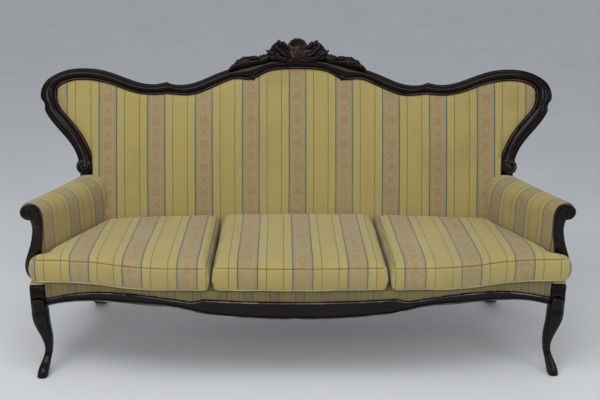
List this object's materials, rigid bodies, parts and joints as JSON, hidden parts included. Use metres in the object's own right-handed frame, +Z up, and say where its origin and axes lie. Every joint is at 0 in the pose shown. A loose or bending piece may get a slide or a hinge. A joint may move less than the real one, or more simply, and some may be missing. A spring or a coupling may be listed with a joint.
{
  "type": "sofa",
  "caption": "Wide show-wood sofa with a serpentine upholstered back, carved crest, rolled arms with scrolled facings, loose boxed seat cushions and curved front legs.",
  "frame": {"origin": "middle of the sofa's footprint box on the floor", "axes": "+X to the right seen from the front, +Y towards the back, +Z up"},
  "size_m": [2.1076, 0.8496, 1.1813],
  "materials": {
    "show_wood": "polished dark walnut, worn at the edges",
    "frame_wood": "plain unfinished beech",
    "stripe_fabric": "woven stripe with flowers, in yellow, gold and coral",
    "outside_cloth": "plain woven cloth",
    "webbing": "jute webbing",
    "canvas": "plain canvas",
    "deck_cloth": "plain cloth",
    "dust_cloth": "thin black cloth",
    "stuffing": "soft filling in plain ticking"
  },
  "bodies": {
    "frame": {"arm_facing_left": "show_wood", "arm_facing_right": "show_wood", "arm_outer_cover_left": "outside_cloth", "arm_outer_cover_right": "outside_cloth", "arm_pad_left": "stripe_fabric", "arm_pad_right": "stripe_fabric", "arm_rail_left": "frame_wood", "arm_rail_right": "frame_wood", "arm_tack_rail_left": "frame_wood", "arm_tack_rail_right": "frame_wood", "back_canvas": "canvas", "back_lower_rail": "frame_wood", "back_outer_cover": "outside_cloth", "back_pad": "stripe_fabric", "back_uprights": "frame_wood", "back_webbing": "webbing", "corner_blocks": "frame_wood", "crest_cartouche": "show_wood", "crest_leaf_left": "show_wood", "crest_leaf_right": "show_wood", "crest_rail": "show_wood", "dust_cover": "dust_cloth", "ear_rail_left": "show_wood", "ear_rail_right": "show_wood", "front_apron": "show_wood", "front_border": "stripe_fabric", "front_leg_left": "show_wood", "front_leg_right": "show_wood", "joint_dowels": "frame_wood", "rear_leg_left": "show_wood", "rear_leg_right": "show_wood", "seat_canvas": "canvas", "seat_cross_rails": "frame_wood", "seat_deck_pad": "deck_cloth", "seat_rail_front": "frame_wood", "seat_rail_left": "frame_wood", "seat_rail_rear": "frame_wood", "seat_rail_right": "frame_wood", "seat_webbing": "webbing", "side_apron_left": "show_wood", "side_apron_right": "show_wood", "wing_stile_left": "show_wood", "wing_stile_right": "show_wood"},
    "cushion_left": {"seat_cushion_left": "stripe_fabric", "cushion_core_left": "stuffing"},
    "cushion_centre": {"seat_cushion_centre": "stripe_fabric", "cushion_core_centre": "stuffing"},
    "cushion_right": {"seat_cushion_right": "stripe_fabric", "cushion_core_right": "stuffing"}
  },
  "joints": [
    {"name": "cushion_left_lift", "type": "slide", "parent": "frame", "child": "cushion_left", "axis": [0, 0, 1], "range_m": [0, 0.83]},
    {"name": "cushion_centre_lift", "type": "slide", "parent": "frame", "child": "cushion_centre", "axis": [0, 0, 1], "range_m": [0, 0.83]},
    {"name": "cushion_right_lift", "type": "slide", "parent": "frame", "child": "cushion_right", "axis": [0, 0, 1], "range_m": [0, 0.83]}
  ]
}
